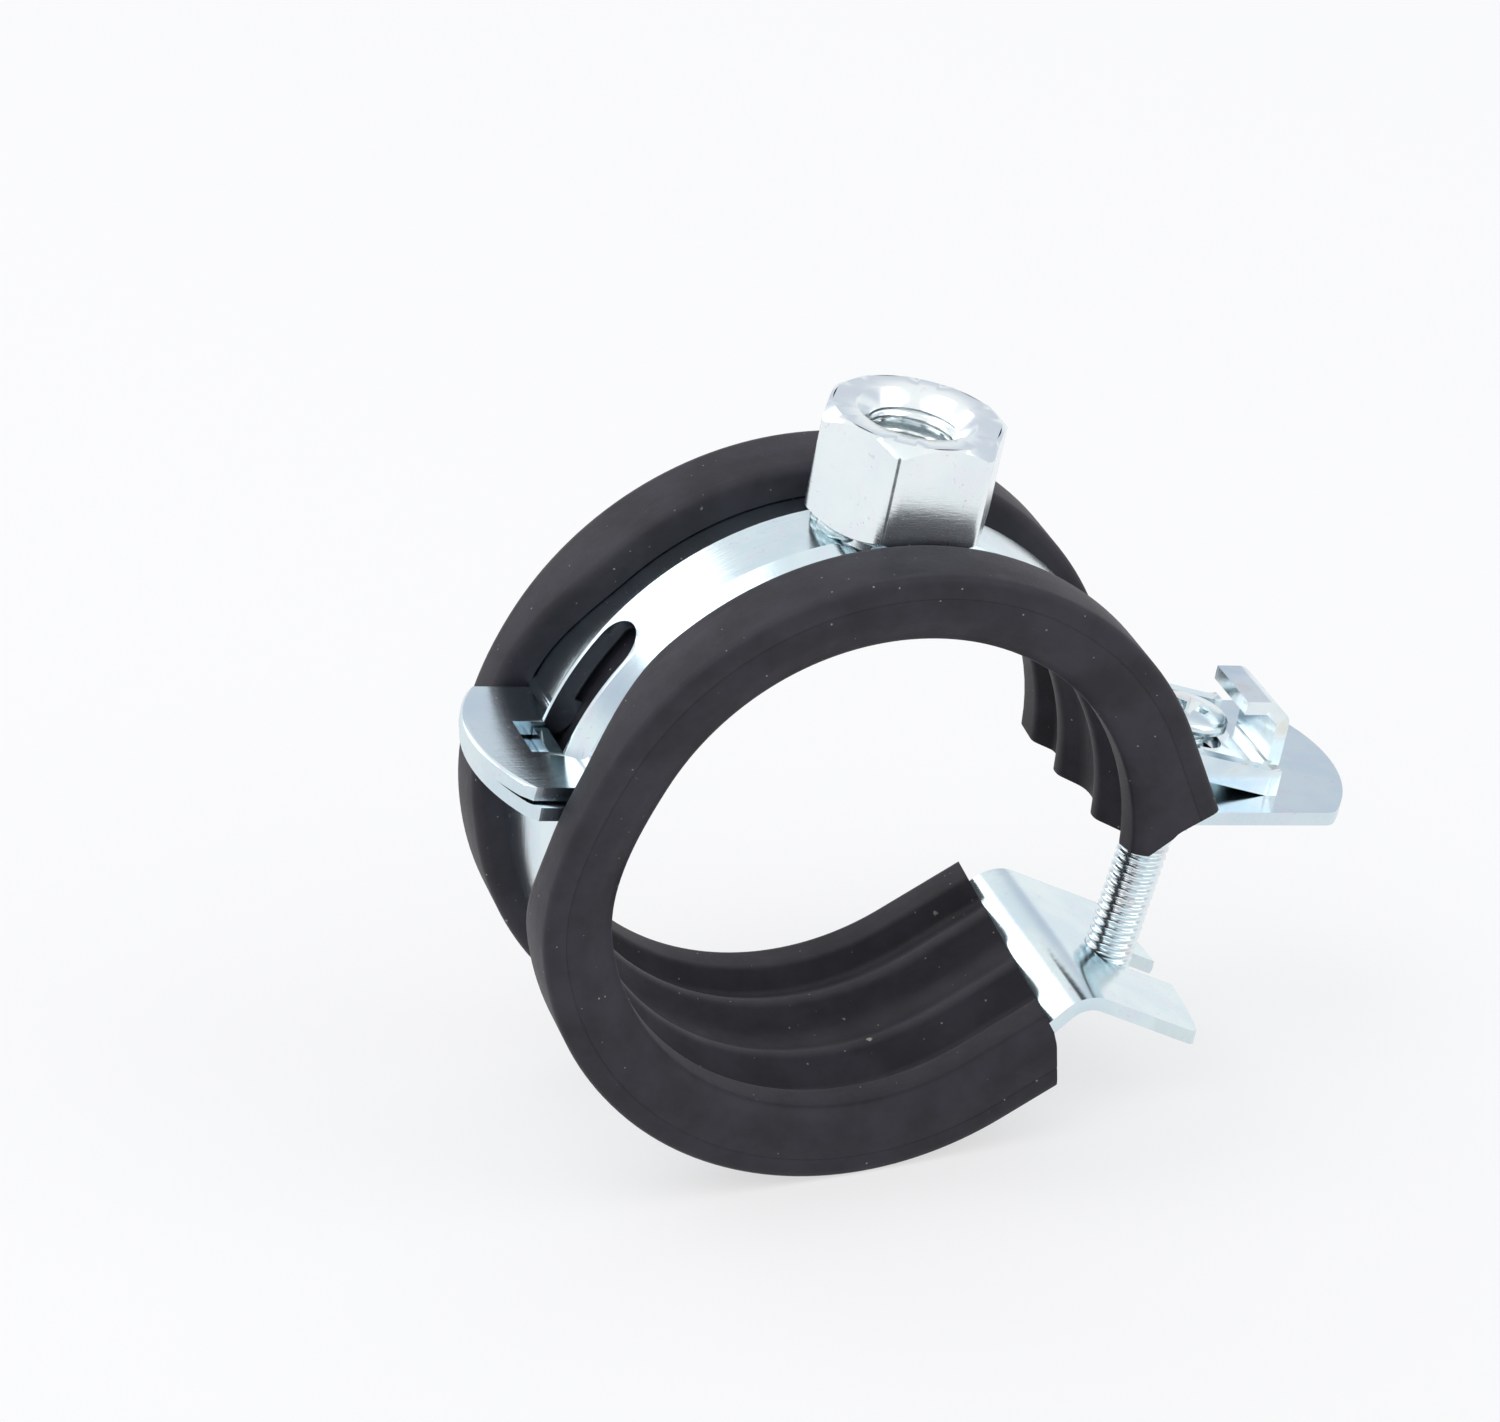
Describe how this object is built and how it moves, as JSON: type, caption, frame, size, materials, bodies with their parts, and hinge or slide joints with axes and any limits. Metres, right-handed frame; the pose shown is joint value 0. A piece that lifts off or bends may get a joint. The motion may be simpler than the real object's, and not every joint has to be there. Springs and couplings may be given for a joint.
{
  "type": "rubber lined pipe clamp",
  "caption": "Hinged sheet-steel pipe clamp with a ribbed rubber liner, a welded hexagonal connection nut on top and a closing screw held by a hooked keeper, shown open",
  "frame": {"origin": "centre of the pipe seat in the upper half of the clamp, midway along the liner's width", "axes": "+Z along the connection nut's thread, pointing away from the pipe; +Y along the pipe; +X from the hinge towards the closing screw"},
  "size_m": [0.0709, 0.025, 0.0583],
  "materials": {
    "band_steel": "bright zinc plated, bluish",
    "liner_rubber": "matte",
    "nut_steel": "bright zinc plated, pale",
    "screw_steel": "zinc plated"
  },
  "bodies": {
    "upper_half": {"upper_band_half": "band_steel", "rubber_liner": "liner_rubber", "connection_nut": "nut_steel", "locking_keeper": "band_steel"},
    "lower_half": {"lower_band_half": "band_steel"},
    "screw": {"closing_screw": "screw_steel"}
  },
  "joints": [
    {"name": "clamp_hinge", "type": "hinge", "parent": "upper_half", "child": "lower_half", "pos_m": [-0.022, 0, 0.0045], "axis": [0, -1, 0], "range_deg": [0, 17], "deforming": ["rubber_liner"]},
    {"name": "screw_travel", "type": "slide", "parent": "lower_half", "child": "screw", "axis": [0.0889, 0, 0.996], "range_m": [-0.014, 0]}
  ],
  "couplings": [
    {"joint": "screw_travel", "follows": "clamp_hinge", "m_per_rad": -0.047}
  ]
}
